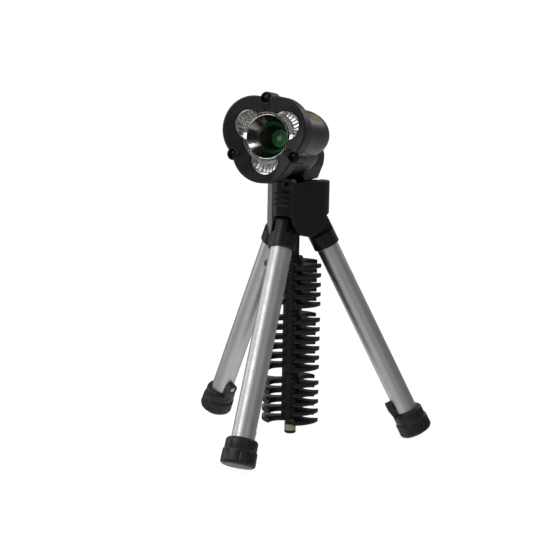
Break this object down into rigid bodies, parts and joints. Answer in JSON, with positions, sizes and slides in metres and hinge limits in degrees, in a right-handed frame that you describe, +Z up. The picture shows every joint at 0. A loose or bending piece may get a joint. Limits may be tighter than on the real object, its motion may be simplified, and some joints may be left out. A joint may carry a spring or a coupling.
{
  "type": "tripod torch",
  "caption": "Small torch with a lobed head hinged on a folding tripod, with a ribbed grip round the post between the legs.",
  "frame": {"origin": "middle of the footprint of the standing tripod, on the surface it stands on", "axes": "+Z up, the torch looks along -Y over the front leg, X = 0 is the plane of symmetry"},
  "size_m": [0.1462, 0.1293, 0.2006],
  "materials": {
    "black_plastic": "satin moulded",
    "bezel_plastic": "satin",
    "barrel_silver": "satin metallic paint",
    "tube_aluminium": "satin anodised",
    "foot_rubber": "matte",
    "rubber": "matte",
    "reflector_chrome": "vacuum plated",
    "lens_clear": "clear",
    "board_green": "solder mask",
    "lamp_yellow": "phosphor",
    "steel": "turned",
    "black_steel": "black oxide",
    "cell_wrap": "printed wrap, blank",
    "brass": "pale plated",
    "magnet": "dark coated",
    "label": "blank label"
  },
  "bodies": {
    "stand": {"hub_housing": "black_plastic", "centre_post": "black_plastic", "post_tip_band": "brass", "post_tip_magnet": "magnet", "grip_core_lower": "black_plastic", "grip_core_middle": "black_plastic", "grip_core_upper": "black_plastic", "leg_pivot_pins": "steel", "neck_pin": "steel"},
    "head": {"head_neck": "black_plastic", "barrel_shell": "barrel_silver", "label_plate": "label", "front_bezel": "bezel_plastic", "bezel_screws": "black_steel", "front_lens": "lens_clear", "side_reflector": "reflector_chrome", "main_reflector": "reflector_chrome", "lamp_board": "board_green", "led_lamp": "lamp_yellow", "front_contacts": "brass", "battery_cell_right": "cell_wrap", "battery_cell_left": "cell_wrap", "battery_cell_bottom": "cell_wrap", "rear_contact_board": "board_green", "power_switch": "black_steel"},
    "button": {"power_button": "rubber"},
    "leg_front": {"leg_knuckle_front": "black_plastic", "leg_tube_front": "tube_aluminium", "leg_foot_front": "foot_rubber", "foot_stud_front": "steel"},
    "leg_right": {"leg_knuckle_right": "black_plastic", "leg_tube_right": "tube_aluminium", "leg_foot_right": "foot_rubber", "foot_stud_right": "steel"},
    "leg_left": {"leg_knuckle_left": "black_plastic", "leg_tube_left": "tube_aluminium", "leg_foot_left": "foot_rubber", "foot_stud_left": "steel"}
  },
  "joints": [
    {"name": "leg_front_fold", "type": "hinge", "parent": "stand", "child": "leg_front", "pos_m": [0, 0.00724, 0.12296], "axis": [1, 0, 0], "range_deg": [0, 27]},
    {"name": "leg_right_fold", "type": "hinge", "parent": "stand", "child": "leg_right", "pos_m": [0.00961, 0.02389, 0.12296], "axis": [-0.5, 0.866, 0], "range_deg": [0, 27]},
    {"name": "leg_left_fold", "type": "hinge", "parent": "stand", "child": "leg_left", "pos_m": [-0.00961, 0.02389, 0.12296], "axis": [-0.5, -0.866, 0], "range_deg": [0, 27]},
    {"name": "head_tilt", "type": "hinge", "parent": "stand", "child": "head", "pos_m": [0, 0.02809, 0.1455], "axis": [-1, 0, 0], "range_deg": [0, 84]},
    {"name": "power_button_press", "type": "slide", "parent": "head", "child": "button", "axis": [0, -0.9945, 0.1045], "range_m": [0, 0.0012], "stiffness_N_per_m": 400, "springref_m": -0.001}
  ]
}
